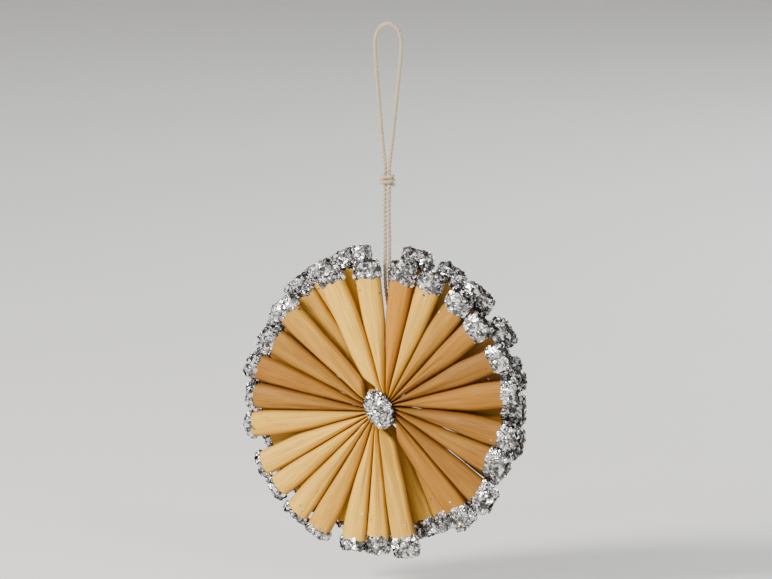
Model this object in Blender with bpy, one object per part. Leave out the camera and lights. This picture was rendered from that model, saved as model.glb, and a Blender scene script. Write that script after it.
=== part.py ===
"""A straw rosette for hanging on a tree.

Whole straws are bundled, tied round the waist and fanned out, so that every straw makes one ray on each
side of the binding. A front layer and a back layer of straws lie on either side of the rosette's middle
plane. The free ends are open tubes with a crust of glitter, a dab of glitter glue covers the binding on
both faces, and a doubled thread, knotted just above the rim, makes the hanging loop.

The origin is the inside of the loop's top, where the rosette hangs. +Z is up, and the front faces -Y.
The straws are modelled lying round a "rosette" empty. Its X runs along the bundle, its Z across the
bundle, in the binding's direction, and its Y from front to back.
"""

import math
import random

import bmesh
import bpy
import numpy as np

# Rosette, in metres
TIP_RADIUS = 0.0312
TIP_RADIUS_SPREAD = 0.0011
BACK_RISE = 0.0030
LAYER_GAP = 0.0003
STRAW_CLEARANCE = 0.00016
TIP_LIFT = 0.0009
FRONT_STRAWS = 12

# One straw: an oval tube at its free ends, and crushed on edge where it is tied
STRAW_WIDTH = 0.0055
STRAW_WIDTH_SPREAD = 0.07
STRAW_WALL = 0.0003
TIP_DEPTH = 0.0026
MIDDLE_DEPTH = 0.0030
MIDDLE_RADIUS = 0.012
HOLLOW_LENGTH = 0.016

# Waist of the bundle, under the binding
WAIST_WIDTH = 0.006
WAIST_DEPTH = 0.0044
WAIST_HALF_LENGTH = 0.0014
WAIST_CORNER = 3.0
WAIST_EASE = 1.08
BEND_RADIUS = 0.0009

# Angles in degrees: half of what the front rays cover at each end of the bundle, the play of each ray,
# and the gap between the back rays where the hanging thread passes. The thread comes out of the front
# layer's gap at this share of the way round its near fan.
FRONT_FANS = (81.0, 72.0)
RAY_TURN = 2.2
HANGER_GAP = 23.0
HANGER_SHARE = 0.83

# Glitter crust on the free ends, and the dabs over the binding
CRUST = 0.0002
CRUST_STEP = 0.00015
WIDE_BAND = 0.0040
NARROW_BAND = 0.0014
NARROW_TOWARDS = 214.0
NARROW_WITHIN = (28.0, 66.0)
DAB_HALF_LENGTH = 0.0043
DAB_HALF_WIDTH = 0.0030
DAB_HEIGHT = 0.0010
DAB_EDGE = 0.00025
DAB_CLEARANCE = 0.00015

# Threads
BINDING_DIAMETER = 0.0005
BINDING_TURNS = 3
BINDING_CLEARANCE = 0.00015
THREAD_DIAMETER = 0.0008
THREAD_CLEARANCE = 0.00015
LOOP_RISE = 0.045
LOOP_HALF_WIDTH = 0.0030
KNOT_DIAMETER = 0.0008
KNOT_TURNS = 3
KNOT_RISE = 0.0130

# Form of the sections: how square the straws' and the knot's outlines are, and how sharply a straw
# narrows where its neighbours crowd it
SQUARENESS = 2.3
KNOT_SQUARENESS = 2.6
CROWDING = 4

# Mesh fineness
SIDES = 8
BEND_STEPS = 2
INNER_STATION = 0.45
LINE_STEP = 0.0002
COIL_STEPS = 12
THREAD_STEP = 3.0
CURVE_STEPS = 24
DAB_SIDES = 14
DAB_ROWS = 3
SEED = 27

HANGER_RAY = round(HANGER_SHARE * FRONT_STRAWS)
WAIST_REACH = WAIST_WIDTH / math.pi
BINDING_HALF_LENGTH = (BINDING_TURNS / 2) * (BINDING_DIAMETER + STRAW_CLEARANCE)
BINDING_HALF_DEPTH = WAIST_DEPTH / 2 + LAYER_GAP / 2 + BINDING_CLEARANCE + BINDING_DIAMETER / 2
BINDING_HALF_WIDTH = WAIST_EASE * WAIST_WIDTH / 2 + BINDING_CLEARANCE + BINDING_DIAMETER / 2
RIM_TOP_Z = -LOOP_RISE
DISC_CENTRE_Z = RIM_TOP_Z - TIP_RADIUS - BACK_RISE


def smooth(low, high, value):
    """0 below low, 1 above high, and a smooth rise between."""
    share = min(1.0, max(0.0, (value - low) / (high - low)))
    return share * share * (3 - 2 * share)


def oval(angle, corner):
    """A point on a rounded rectangle with half sides of 1: a circle at corner 2, squarer above it."""
    c, s = math.cos(angle), math.sin(angle)
    return math.copysign(abs(c) ** (2 / corner), c), math.copysign(abs(s) ** (2 / corner), s)


# The straws' paths, in the rosette's own plane

class Ray:
    """One half of a straw, from the middle of the waist out to its free end."""

    def __init__(self, side, waist_z, angle, length):
        self.side = side
        self.angle = angle
        turned = math.radians(angle)
        corner = np.array([WAIST_HALF_LENGTH + WAIST_REACH * math.cos(turned), waist_z])
        tip = length * np.array([math.cos(turned), math.sin(turned)])
        out = (tip - corner) / np.linalg.norm(tip - corner)
        bend = math.atan2(out[1], out[0])
        room = corner[0] - BINDING_HALF_LENGTH - BINDING_CLEARANCE
        radius = min(BEND_RADIUS, room / max(1e-6, math.tan(abs(bend) / 2)))
        back = radius * math.tan(abs(bend) / 2)
        start = corner - [back, 0]
        turn = math.copysign(1, bend)
        arc = []
        for step in range(BEND_STEPS + 1):
            swept = abs(bend) * step / BEND_STEPS
            arc.append(start + radius * np.array([math.sin(swept), turn * (1 - math.cos(swept))]))
        self.bend_points = arc
        self.bend_headings = [bend * step / BEND_STEPS for step in range(BEND_STEPS + 1)]
        self.straight_start = arc[-1]
        self.tip = tip
        self.heading = bend

    def placed(self, point):
        return np.array([self.side * point[0], point[1]])

    def line(self):
        """Points close together along the ray, from the middle of the waist to its free end."""
        corners = np.array([(0.0, self.bend_points[0][1])] + self.bend_points + [self.tip])
        along = np.concatenate([[0], np.cumsum(np.linalg.norm(np.diff(corners, axis=0), axis=1))])
        at = np.arange(0, along[-1], LINE_STEP)
        points = np.stack([np.interp(at, along, corners[:, k]) for k in range(2)], axis=1)
        return points * [self.side, 1]

    def stations(self, band):
        """(point, heading, crusted, in the hollow) for each section, from the waist outwards."""
        found = [(p, h, False, False) for p, h in zip(self.bend_points, self.bend_headings)]
        run = self.tip - self.straight_start
        length = np.linalg.norm(run)
        hollow_end = 1 - HOLLOW_LENGTH / length
        bare = 1 - band / length
        marks = [(INNER_STATION * hollow_end, False, False), (hollow_end, False, True)]
        marks += [(bare, False, False), (bare + CRUST_STEP / length, True, False), (1.0, True, True)]
        found += [(self.straight_start + share * run, self.heading, *rest) for share, *rest in marks]
        return [(self.placed(p), h if self.side > 0 else math.pi - h, *rest) for p, h, *rest in found]


class Straw:
    """One whole straw: its two rays, its width and how far its ends lift off the middle plane."""

    def __init__(self, name, depth_side, waist_z, rays, width, lifts):
        self.name = name
        self.depth_side = depth_side
        self.waist_z = waist_z
        self.rays = rays
        self.width = width
        self.lifts = lifts

    def line(self):
        return np.concatenate([ray.line() for ray in self.rays])


def fan_angles(count, half_angle):
    return [half_angle * (2 * i / (count - 1) - 1) for i in range(count)]


def hanger_direction():
    """The angle, in the rosette's plane, of the front gap where the hanging thread comes out."""
    angles = fan_angles(FRONT_STRAWS, FRONT_FANS[0])
    return (angles[HANGER_RAY - 1] + angles[HANGER_RAY]) / 2


def back_fans():
    """The back rays' angles: behind the front layer's gaps, but for a gap round the hanging thread."""
    count = FRONT_STRAWS + 1
    near_half, far_half = [half * FRONT_STRAWS / (FRONT_STRAWS - 1) for half in FRONT_FANS]
    hanger = hanger_direction()
    below = np.linspace(-near_half, hanger - HANGER_GAP / 2, HANGER_RAY)
    above = np.linspace(hanger + HANGER_GAP / 2, near_half, count - HANGER_RAY)
    return list(below) + list(above), fan_angles(count, far_half)


def ray_length(direction, rise):
    """From the rosette's centre to the circle of tips, whose own centre is higher by rise."""
    up = rise * math.cos(math.radians(direction - hanger_direction()))
    return up + math.sqrt(TIP_RADIUS ** 2 - rise ** 2 + up ** 2)


def layer(name, depth_side, near, far, rise, straight_rays, rng):
    """The straws of one layer, from the ray angles at each end of the bundle. straight_rays are the near
    rays that lie flat at their exact angle, because the hanging thread passes between them."""
    count = len(near)
    pitch = WAIST_WIDTH / count
    straws = []
    for i in range(count):
        turns = [rng.uniform(-RAY_TURN, RAY_TURN) for _ in range(2)]
        trims = [rng.uniform(0, TIP_RADIUS_SPREAD) for _ in range(2)]
        lifts = [rng.uniform(0, TIP_LIFT) for _ in range(2)]
        width = STRAW_WIDTH * (1 + rng.uniform(-STRAW_WIDTH_SPREAD, STRAW_WIDTH_SPREAD))
        if i in straight_rays:
            turns[0] = lifts[0] = 0.0
        waist_z = pitch * (i - (count - 1) / 2)
        angles = near[i] + turns[0], far[i] + turns[1]
        rays = [
            Ray(1, waist_z, angles[0], ray_length(angles[0], rise) - trims[0]),
            Ray(-1, waist_z, angles[1], ray_length(180 - angles[1], rise) - trims[1]),
        ]
        straws.append(Straw(f"straw_{name}_{i + 1:02d}", depth_side, waist_z, rays, width, lifts))
    return straws


def band_length(world_angle, rng):
    """How far the glitter reaches in from a free end that points in this direction, in degrees."""
    away = abs((world_angle - NARROW_TOWARDS + 180) % 360 - 180)
    wide = smooth(*NARROW_WITHIN, away)
    return (NARROW_BAND + wide * (WIDE_BAND - NARROW_BAND)) * rng.uniform(0.85, 1.15)


# The straws' cross-sections

def half_width(point, straw, others):
    """Half of a straw's width at a point: its own width, or less where its neighbours crowd it."""
    room = min(np.linalg.norm(line - point, axis=1).min() for line in others) - STRAW_CLEARANCE
    return (room ** -CROWDING + straw.width ** -CROWDING) ** (-1 / CROWDING) / 2


def waist_share(z):
    """How deep the bundle is at this place across it, as a share of its full depth."""
    outer_edge = abs(z) + WAIST_WIDTH / FRONT_STRAWS / 2
    share = outer_edge / (WAIST_EASE * WAIST_WIDTH / 2)
    return (1 - share ** WAIST_CORNER) ** (1 / WAIST_CORNER)


def depth_at(radius, straw):
    waist = WAIST_DEPTH / 2 * waist_share(straw.waist_z)
    opened = smooth(WAIST_HALF_LENGTH, MIDDLE_RADIUS / 2, radius)
    flattened = smooth(MIDDLE_RADIUS, TIP_RADIUS, radius)
    return waist + opened * (MIDDLE_DEPTH - waist) - flattened * (MIDDLE_DEPTH - TIP_DEPTH)


def middle_depth(radius, depth, lift, straw):
    """Y of a section's middle: its inner face keeps to its own side of the rosette's middle plane."""
    inner_face = LAYER_GAP / 2 + (CRUST + lift) * smooth(0, TIP_RADIUS, radius)
    return straw.depth_side * (inner_face + depth / 2)


def ring(point, heading, half_w, half_d, y):
    across = np.array([-math.sin(heading), math.cos(heading)])
    points = []
    for k in range(SIDES):
        u, v = oval(2 * math.pi * k / SIDES, SQUARENESS)
        x, z = point + across * u * half_w
        points.append((x, y + v * half_d, z))
    return points


def straw_rings(straw, others, bands):
    """The outer rings from one free end to the other, and each hollow's rings from its mouth inwards."""
    outer, hollows = [], []
    for ray, lift, band in zip(straw.rays, straw.lifts, bands):
        rings, hollow = [], []
        for point, heading, crusted, in_hollow in ray.stations(band):
            radius = np.linalg.norm(point)
            half_w, depth = half_width(point, straw, others), depth_at(radius, straw)
            y = middle_depth(radius, depth, lift, straw)
            extra = CRUST if crusted else 0.0
            rings.append(ring(point, heading, half_w + extra, depth / 2 + extra, y))
            if in_hollow:
                hollow.append(ring(point, heading, half_w - STRAW_WALL, depth / 2 - STRAW_WALL, y))
        outer.append(rings)
        hollows.append(hollow[::-1])
    far_side = [mirrored(r) for r in outer[1][::-1]]
    return far_side + outer[0], hollows[0], [mirrored(r) for r in hollows[1]]


def mirrored(points):
    """The same ring counted the other way round, as the far ray's heading points the other way."""
    half = SIDES // 2
    return [points[(half - k) % SIDES] for k in range(SIDES)]


def skin(bm, rows):
    for first, second in zip(rows, rows[1:]):
        for k in range(SIDES):
            bm.faces.new((first[k], first[(k + 1) % SIDES], second[(k + 1) % SIDES], second[k]))


def straw_mesh(name, outer, near_hollow, far_hollow):
    bm = bmesh.new()
    outer_rows = [[bm.verts.new(p) for p in r] for r in outer]
    skin(bm, outer_rows)
    for hollow, mouth in ((near_hollow, outer_rows[-1]), (far_hollow, outer_rows[0])):
        rows = [mouth] + [[bm.verts.new(p) for p in r] for r in hollow]
        skin(bm, rows)
        bm.faces.new(rows[-1])
    bmesh.ops.recalc_face_normals(bm, faces=bm.faces)
    mesh = bpy.data.meshes.new(name)
    bm.to_mesh(mesh)
    bm.free()
    mesh.shade_smooth()
    mesh.set_sharp_from_angle(angle=math.radians(40))
    return mesh


# Materials and objects

def material(name, colour, roughness, metallic=0.0):
    made = bpy.data.materials.new(name)
    made.use_nodes = True
    shader = made.node_tree.nodes["Principled BSDF"]
    shader.inputs["Base Color"].default_value = (*colour, 1)
    shader.inputs["Roughness"].default_value = roughness
    shader.inputs["Metallic"].default_value = metallic
    return made


def add_object(name, data, finish, parent=None):
    made = bpy.data.objects.new(name, data)
    bpy.context.scene.collection.objects.link(made)
    data.materials.append(finish)
    made.parent = parent
    return made


def tube(name, points, diameter, finish, parent=None):
    """A round thread along points, with closed ends."""
    curve = bpy.data.curves.new(name, "CURVE")
    curve.dimensions = "3D"
    curve.bevel_depth = diameter / 2
    curve.bevel_resolution = 2
    curve.use_fill_caps = True
    spline = curve.splines.new("POLY")
    spline.points.add(len(points) - 1)
    for spline_point, place in zip(spline.points, points):
        spline_point.co = (*place, 1)
    return add_object(name, curve, finish, parent)


# Binding, dabs and hanging loop

def coil(turns, diameter, half_width_x, half_depth_y, corner):
    """Points of a flat-wound coil round the Z axis: a rounded rectangle that climbs a thread each turn."""
    steps = turns * COIL_STEPS
    points = []
    for step in range(steps + 1):
        x, y = oval(2 * math.pi * step / COIL_STEPS, corner)
        rise = (diameter + STRAW_CLEARANCE) * (step / COIL_STEPS - turns / 2)
        points.append((x * half_width_x, y * half_depth_y, rise))
    return points


def binding(finish, parent):
    wound = coil(BINDING_TURNS - 1, BINDING_DIAMETER, BINDING_HALF_WIDTH, BINDING_HALF_DEPTH, WAIST_CORNER)
    return tube("binding_thread", [(z, y, x) for x, y, z in wound], BINDING_DIAMETER, finish, parent)


def dab(name, depth_side, finish, parent):
    """A low dome of glitter glue with a flat underside just clear of the binding."""
    under = BINDING_HALF_DEPTH + BINDING_DIAMETER / 2 + DAB_CLEARANCE
    around, rows = DAB_SIDES, DAB_ROWS
    bm = bmesh.new()
    rings = []
    for row in range(rows + 1):
        share = 1 - row / (rows + 1)
        height = DAB_EDGE + (DAB_HEIGHT - DAB_EDGE) * math.sqrt(max(0.0, 1 - share ** 2))
        rings.append([
            bm.verts.new((
                DAB_HALF_WIDTH * share * math.cos(2 * math.pi * k / around),
                depth_side * (under + height),
                DAB_HALF_LENGTH * share * math.sin(2 * math.pi * k / around),
            ))
            for k in range(around)
        ])
    base = [bm.verts.new((v.co.x, depth_side * under, v.co.z)) for v in rings[0]]
    for first, second in zip([base] + rings, rings):
        for k in range(around):
            bm.faces.new((first[k], first[(k + 1) % around], second[(k + 1) % around], second[k]))
    bm.faces.new(rings[-1])
    bm.faces.new(base)
    bmesh.ops.recalc_face_normals(bm, faces=bm.faces)
    mesh = bpy.data.meshes.new(name)
    bm.to_mesh(mesh)
    bm.free()
    return add_object(name, mesh, finish, parent)


def curve_through(points, spacing):
    """Points about spacing apart on a smooth curve through the given points."""
    points = [np.array(p, float) for p in points]
    padded = [2 * points[0] - points[1]] + points + [2 * points[-1] - points[-2]]
    fine = []
    for a, b, c, d in zip(padded, padded[1:], padded[2:], padded[3:]):
        for t in np.linspace(0, 1, CURVE_STEPS, endpoint=False):
            fine.append(0.5 * (2 * b + (c - a) * t + (2 * a - 5 * b + 4 * c - d) * t ** 2
                               + (3 * b - a - 3 * c + d) * t ** 3))
    fine = np.array(fine + [points[-1]])
    along = np.concatenate([[0], np.cumsum(np.linalg.norm(np.diff(fine, axis=0), axis=1))])
    at = np.linspace(0, along[-1], max(2, round(along[-1] / spacing) + 1))
    return np.stack([np.interp(at, along, fine[:, k]) for k in range(3)], axis=1)


def back_face(radius):
    """Y of the hanging thread where it lies on the back straws at this distance from the centre."""
    opened = smooth(WAIST_HALF_LENGTH, MIDDLE_RADIUS / 2, radius)
    depth = WAIST_DEPTH / 2 + opened * (MIDDLE_DEPTH - WAIST_DEPTH / 2)
    lying_on = LAYER_GAP / 2 + CRUST * smooth(0, TIP_RADIUS, radius) + depth
    return lying_on + THREAD_CLEARANCE + THREAD_DIAMETER / 2


def loop_route():
    """The hanging thread's own points: up the back, through the gap, round the loop and back again."""
    strand = THREAD_DIAMETER / 2 + THREAD_CLEARANCE / 2
    knot_z = RIM_TOP_Z + KNOT_RISE
    towards = math.radians(hanger_direction())
    dab_edge = 1 / math.hypot(math.cos(towards) / DAB_HALF_WIDTH, math.sin(towards) / DAB_HALF_LENGTH)
    start = dab_edge + THREAD_DIAMETER
    up = [(strand, back_face(r), DISC_CENTRE_Z + r) for r in (start, 0.009, 0.0135, 0.017)]
    up += [
        (strand, 0.0019, DISC_CENTRE_Z + 0.0215),
        (strand, 0.0006, DISC_CENTRE_Z + 0.0262),
        (strand, 0.0003, RIM_TOP_Z),
        (strand, 0.0, (RIM_TOP_Z + knot_z) / 2),
        (strand, 0.0, knot_z),
        (strand, 0.0, knot_z + 0.003),
        (0.38 * LOOP_HALF_WIDTH, 0.0, 0.74 * knot_z),
        (0.70 * LOOP_HALF_WIDTH, 0.0, 0.44 * knot_z),
        (0.96 * LOOP_HALF_WIDTH, 0.0, 0.19 * knot_z),
        (0.97 * LOOP_HALF_WIDTH, 0.0, -1.00 * LOOP_HALF_WIDTH),
        (0.70 * LOOP_HALF_WIDTH, 0.0, -0.22 * LOOP_HALF_WIDTH),
    ]
    top = [(0.0, 0.0, THREAD_DIAMETER / 2)]
    return [(-x, y, z) for x, y, z in up] + top + up[::-1]


def hanging_loop(finish):
    return tube("hanging_loop", curve_through(loop_route(), THREAD_STEP * THREAD_DIAMETER), THREAD_DIAMETER, finish)


def loop_knot(finish):
    """The knot: turns of thread drawn tight round the two strands."""
    pair = THREAD_DIAMETER + THREAD_CLEARANCE / 2
    half_x = pair + THREAD_CLEARANCE + KNOT_DIAMETER / 2
    half_y = THREAD_DIAMETER / 2 + THREAD_CLEARANCE + KNOT_DIAMETER / 2
    wound = coil(KNOT_TURNS - 1, KNOT_DIAMETER, half_x, half_y, KNOT_SQUARENESS)
    knot = tube("loop_knot", wound, KNOT_DIAMETER, finish)
    knot.location = (0, 0, RIM_TOP_Z + KNOT_RISE)
    return knot


def main():
    for old in list(bpy.data.objects):
        bpy.data.objects.remove(old)
    straw_finish = material("straw", (0.72, 0.49, 0.22), 0.42)
    thread_finish = material("thread", (0.74, 0.68, 0.54), 0.85)
    glitter_finish = material("glitter", (0.78, 0.79, 0.80), 0.25, 1.0)

    rng = random.Random(SEED)
    bundle_angle = 90 - hanger_direction()
    rosette = bpy.data.objects.new("rosette", None)
    bpy.context.scene.collection.objects.link(rosette)
    rosette.location = (0, 0, DISC_CENTRE_Z)
    rosette.rotation_euler = (0, -math.radians(bundle_angle), 0)

    front_fans = [fan_angles(FRONT_STRAWS, half) for half in FRONT_FANS]
    layers = [
        layer("front", -1, *front_fans, 0.0, (), rng),
        layer("back", 1, *back_fans(), BACK_RISE, (HANGER_RAY - 1, HANGER_RAY), rng),
    ]
    for straws in layers:
        for straw in straws:
            others = [other.line() for other in straws if other is not straw]
            directions = (bundle_angle + straw.rays[0].angle, bundle_angle + 180 - straw.rays[1].angle)
            bands = [band_length(direction, rng) for direction in directions]
            mesh = straw_mesh(straw.name, *straw_rings(straw, others, bands))
            add_object(straw.name, mesh, straw_finish, rosette)
    binding(thread_finish, rosette)
    dab("glitter_dab_front", -1, glitter_finish, rosette)
    dab("glitter_dab_back", 1, glitter_finish, rosette)
    hanging_loop(thread_finish)
    loop_knot(thread_finish)


main()
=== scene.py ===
"""The looks of a straw rosette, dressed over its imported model.

Every straw is grown again along its two rays, at the model's own sizes but with fine sections: an open,
obliquely cut tube with lengthwise ridges and a soft crease that runs out from the waist. Its free ends
carry a coat of glue and six-sided flakes. The binding, the hanging loop and its knot are twisted threads,
and two bumpy dabs of glitter glue cover the binding.
Lengths are in metres, angles in degrees.
"""

import math
import random

import bpy
import numpy as np
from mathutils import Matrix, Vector


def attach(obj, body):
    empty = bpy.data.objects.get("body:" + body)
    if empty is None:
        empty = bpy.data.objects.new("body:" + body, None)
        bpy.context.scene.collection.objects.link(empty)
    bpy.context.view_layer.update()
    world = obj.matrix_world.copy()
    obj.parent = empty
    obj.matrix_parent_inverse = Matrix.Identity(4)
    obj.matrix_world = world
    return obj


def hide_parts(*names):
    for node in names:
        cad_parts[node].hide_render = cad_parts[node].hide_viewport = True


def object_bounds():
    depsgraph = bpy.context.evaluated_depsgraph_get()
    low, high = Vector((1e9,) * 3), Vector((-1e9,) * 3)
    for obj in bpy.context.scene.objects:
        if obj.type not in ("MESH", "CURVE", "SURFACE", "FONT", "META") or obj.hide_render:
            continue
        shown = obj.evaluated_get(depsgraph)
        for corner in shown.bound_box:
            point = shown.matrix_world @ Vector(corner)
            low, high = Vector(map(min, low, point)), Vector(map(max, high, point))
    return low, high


# The rosette, as in the model
TIP_RADIUS = 0.0312
TIP_RADIUS_SPREAD = 0.0011
BACK_RISE = 0.0030
LAYER_GAP = 0.0003
STRAW_CLEARANCE = 0.00016
TIP_LIFT = 0.0009
FRONT_STRAWS = 12
STRAW_WIDTH = 0.0055
STRAW_WIDTH_SPREAD = 0.07
STRAW_WALL = 0.0003
TIP_DEPTH = 0.0026
MIDDLE_DEPTH = 0.0030
MIDDLE_RADIUS = 0.012
HOLLOW_LENGTH = 0.016
WAIST_WIDTH = 0.006
WAIST_DEPTH = 0.0044
WAIST_HALF_LENGTH = 0.0014
WAIST_CORNER = 3.0
WAIST_EASE = 1.08
WAIST_REACH = WAIST_WIDTH / math.pi
BEND_RADIUS = 0.0009
FRONT_FANS = (81.0, 72.0)
RAY_TURN = 2.2
HANGER_GAP = 23.0
HANGER_SHARE = 0.83
HANGER_RAY = round(HANGER_SHARE * FRONT_STRAWS)
CRUST = 0.0002
WIDE_BAND = 0.0040
NARROW_BAND = 0.0014
NARROW_TOWARDS = 214.0
NARROW_WITHIN = (28.0, 66.0)
BAND_PLAY = (0.85, 1.15)
LINE_STEP = 0.0002
LAYOUT_SEED = 27

# Binding, dabs and hanging loop, as in the model
DAB_HALF_LENGTH = 0.0043
DAB_HALF_WIDTH = 0.0030
DAB_HEIGHT = 0.0010
DAB_CLEARANCE = 0.00015
BINDING_DIAMETER = 0.0005
BINDING_TURNS = 3
BINDING_CLEARANCE = 0.00015
THREAD_DIAMETER = 0.0008
THREAD_CLEARANCE = 0.00015
LOOP_RISE = 0.045
LOOP_HALF_WIDTH = 0.0030
KNOT_TURNS = 3
KNOT_RISE = 0.0130
KNOT_SQUARENESS = 2.6
BINDING_HALF_LENGTH = (BINDING_TURNS / 2) * (BINDING_DIAMETER + STRAW_CLEARANCE)
BINDING_HALF_DEPTH = WAIST_DEPTH / 2 + LAYER_GAP / 2 + BINDING_CLEARANCE + BINDING_DIAMETER / 2
BINDING_HALF_WIDTH = WAIST_EASE * WAIST_WIDTH / 2 + BINDING_CLEARANCE + BINDING_DIAMETER / 2
RIM_TOP_Z = -LOOP_RISE
DISC_CENTRE_Z = RIM_TOP_Z - TIP_RADIUS - BACK_RISE

# Fine form of a straw: how many sides and sections it has, how far it fills the room that its neighbours
# leave, how square its sections are, its lengthwise ridges and waves, its crease, and its cut ends
SIDES = 36
BEND_STEPS = 6
RUN_STEPS = 34
CROWDING = 12
FRONT_FULLNESS = 0.99
BACK_FULLNESS = 1.20
FRONT_FILL_REACH = (0.0034, 0.0070)
BACK_FILL_REACH = (0.0028, 0.0042)
SEAM_EASE = 1.05
FAR_OFF = 1.0
SQUARENESS = (1.6, 2.15)
RIDGES = range(7, 15)
RIDGE_HEIGHT = 0.000020
RIDGES_FULL_FROM = 0.001
WAVE_SHARE = 0.018
WAVE_LENGTH = 0.011
CREASE_DEPTH = 0.00050
CREASE_WIDTH = 0.20
CREASE_LEAST = 0.25
CREASE_REACH = (0.012, 0.033)
CREASE_OPENING = (0.0007, 0.0016)
CREASE_PLACE = 0.6
CREASE_INSIDE = 0.8
CUT_SLANT = 7.0
CUT_REACH = 0.004
CUT_RAGGED = 0.00007
CUT_CORNER = 0.00045
CUT_CORNER_POWER = 5
HALVES_MEET = 0.002

# A straw's colour. Where paler rays point to, with how far all and any of that reaches either way, the same
# for the one orange ray, how much the others vary, and what a straw's sides keep of its colour under the
# painted shade that stands in for the shadow of its neighbours
PALE_TOWARDS = ((100.0, 18.0, 62.0), (237.0, 44.0, 62.0))
ORANGE_TOWARDS = (82.0, 3.0, 6.0)
PALE_LEAST = 0.10
PALE_MOST = 0.78
PALE_PLAY = 0.13
ORANGE_MOST = 0.8
ORANGE_PLAY = (-0.5, 0.28)
PAINTED_SIDE_SHADE = (0.66, 0.58, 0.52)

# Glitter on the ends: the glue's thickness, bumps and swelling, its wavy edge, how far it runs into the
# mouths, and the flakes, which keep within a depth either side of the middle plane
GLUE = 0.00003
GLUE_BUMP = 0.00007
GLUE_SWELL = 0.00022
GLUE_ROLL = 0.00012
GLUE_THICKENS = 3
GLUE_END_RINGS = 3
GLUE_EDGE = (0.78, 1.10)
GLUE_INSIDE = 0.0010
GLUE_SEALED = 0.8
GLUE_STEPS = 9
GLUE_INSIDE_STEPS = 4
GLUE_SHINE = -1.0
SWELL_WAVE = (0.15, 0.80)
SWELL_FLATTENED = 0.7
FLAKE_SIDES = 6
FLAKE_RADIUS = (0.00034, 0.00062)
FLAKE_THICKNESS = 0.00005
FLAKES_PER_AREA = 1.5e6
FLAKE_TILT = 15.0
FLAKE_TILT_SHARED = 1.4
FLAKE_CORNERS = (0.82, 1.0)
FLAKE_DEPTH = 0.00430
FIRST_FLAKE_ROW = 0.35
RIM_FLAKES = 26
RIM_ROWS = 1.3
STRAY_FLAKES = 5
STRAY_RADIUS = (0.00016, 0.00032)
STRAY_FROM = 1.15
STRAY_REACH = 0.0016
FLAKE_SEED = 5

# Fine form of the dabs: domes drawn in a little, because their flakes stand out past the glue
DAB_ROUND = 48
DAB_ROWS = 14
DAB_OVERHANG = 0.00018
DAB_LOBES = (2, 3, 4, 5, 7)
DAB_LOBE_DEPTH = 0.05
DAB_DOME_POWER = 1.2
DAB_BUMP = 0.00022
DAB_CROWN = 0.15
DAB_CROWN_BUMP = 0.3
DAB_FOOT = (0.97, 0.0006)
DAB_FLAKES = 230
DAB_FLAKE_RADIUS = (0.00026, 0.00046)
DAB_FLAKE_ROWS = (0.6, 0.9)
DAB_FLAKE_LEVEL = (0.6, 1, 0.6)

# The hanging thread's route: how far out it lies on the back straws, its depth and distance from the centre
# where it passes through the gap, its depth at the rim, and how far its strands run on above the knot.
# Then the loop's sides, as shares of its half width and of the knot's depth below the hanging point, and
# its top, as shares of its half width across and down
BACK_REACHES = (0.009, 0.0135, 0.017)
THROUGH_GAP = ((0.0019, 0.0215), (0.0006, 0.0262))
RIM_DEPTH = 0.0003
ABOVE_KNOT = 0.003
LOOP_SIDES = ((0.38, 0.74), (0.70, 0.44), (0.96, 0.19))
LOOP_TOP = ((0.97, 1.00), (0.70, 0.22))

# Twisted threads
PLIES = 3
PLY_SIDES = 7
PLY_FULLNESS = 1.12
PLY_SHIFT = 0.01
LAY_LENGTH = 3.4
COTTON = (0.64, 0.54, 0.38)
# The thread's colour under its painted shade, between fibres and in patches
COTTON_PAINTED_SHADE = (0.38, 0.30, 0.19)
THREAD_STEP = 0.16
CURVE_STEPS = 24
KNOT_STEPS = 48
BINDING_STEPS = 72

# How strongly clouds, streaks with painted shade in their grooves and painted highlight on their
# ridges, the paler inside, the thread's painted shade between fibres and in patches, and the painted
# shade on a straw's sides show, and how far round a straw that painted shade begins
CLOUD_STRENGTH = 0.40
STREAK_AND_PAINTED_LIGHT_STRENGTH = 0.75
INSIDE_STRENGTH = 0.7
THREAD_PATCH_SHADE_STRENGTH = 0.45
PAINTED_SIDE_SHADE_STRENGTH = 1.0
PAINTED_SIDE_SHADE_FROM = 0.72

# Camera at the photograph's viewing angle, and how much of the picture's height the ornament takes
PICTURE = (772, 579)
VIEW_AZIMUTH = 24.5
VIEW_ELEVATION = 7.5
VIEW_ROLL = 0.5
VIEW_DISTANCE = 1.71
PICTURE_SHARE = 0.93
SENSOR = 36.0
FAR_CLIP = 20.0

# Lights: name, azimuth, elevation, distance, size, power and colour
WARM, WHITE, COOL = (1.0, 0.95, 0.88), (1.0, 0.98, 0.95), (0.93, 0.97, 1.0)
LIGHTS = (
    ("key", -38, 27, 1.0, 0.34, 19.0, WARM),
    ("fill", 62, 8, 1.2, 0.60, 3.0, WHITE),
    ("behind", 158, 28, 1.1, 0.50, 13.0, COOL),
    ("sparkle_left", -6, 26, 1.0, 0.06, 1.0, WHITE),
    ("sparkle_right", 54, 34, 1.0, 0.06, 1.2, WHITE),
    ("sparkle_low", 22, -3, 1.0, 0.05, 0.6, WHITE),
)
SKY = (0.95, 0.97, 1.0, 1)
SKY_STRENGTH = 0.26

# Stage: a round floor and wall about the ornament
STAGE_DROP = 0.006
STAGE_RADIUS = 2.6
STAGE_BEND = 0.9
STAGE_HEIGHT = 2.4
STAGE_SIDES = 96
STAGE_BEND_STEPS = 16

# How far a random phase goes: about a full turn
ANY_PHASE = 6.3

# From what share on a unit vector counts as along an axis
NEARLY_ALONG = 0.8


def smooth(low, high, value):
    """0 below low, 1 above high, and a smooth rise between."""
    share = min(1.0, max(0.0, (value - low) / (high - low)))
    return share * share * (3 - 2 * share)


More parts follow.
